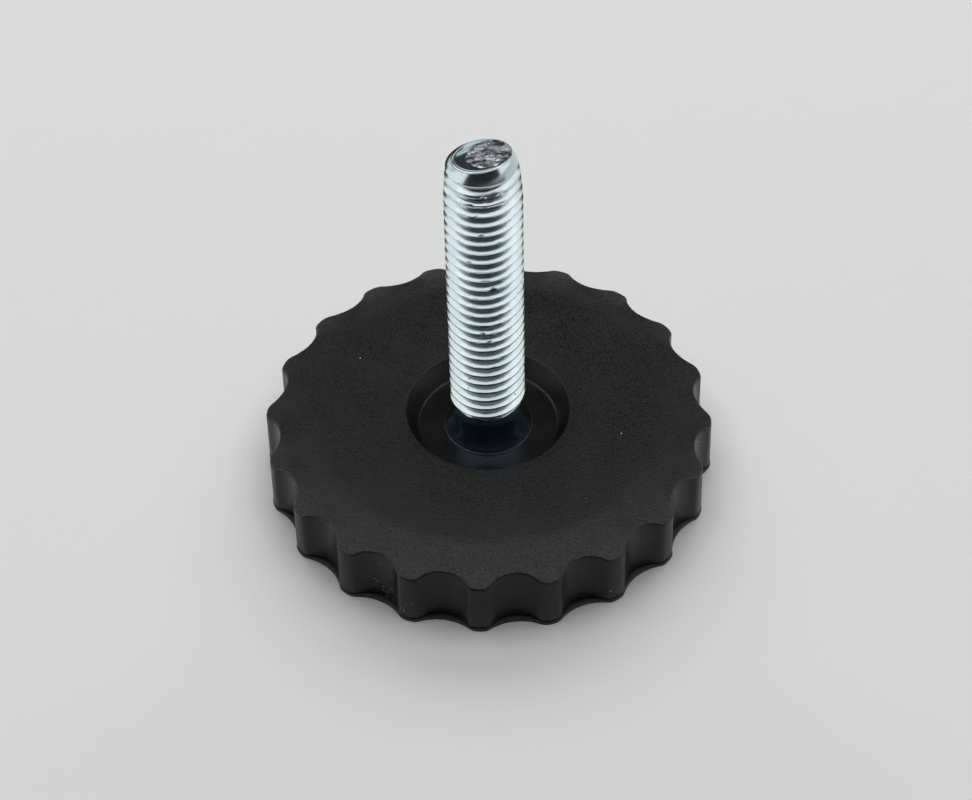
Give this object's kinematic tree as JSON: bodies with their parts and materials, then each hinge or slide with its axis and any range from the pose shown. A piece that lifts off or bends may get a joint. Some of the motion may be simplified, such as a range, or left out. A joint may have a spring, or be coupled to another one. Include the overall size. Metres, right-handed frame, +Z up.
{
  "type": "furniture leveling foot",
  "caption": "Hand-turned leveling foot: round scalloped plastic base with a central recess, a fixed upright M8 threaded steel stud and an anti-slip sole.",
  "frame": {"origin": "centre of the sole's underside, on the floor, under the stud's axis", "axes": "+Z up along the stud, away from the floor; a lobe of the scalloped rim points along +X"},
  "size_m": [0.0486, 0.0486, 0.0443],
  "materials": {
    "black_nylon": "fine spark-eroded grain, satin",
    "zinc_steel": "bright blue-white zinc plating",
    "black_sole": "matt"
  },
  "bodies": {
    "root": {"base_body": "black_nylon", "threaded_stud": "zinc_steel", "anti_slip_sole": "black_sole"}
  },
  "joints": []
}
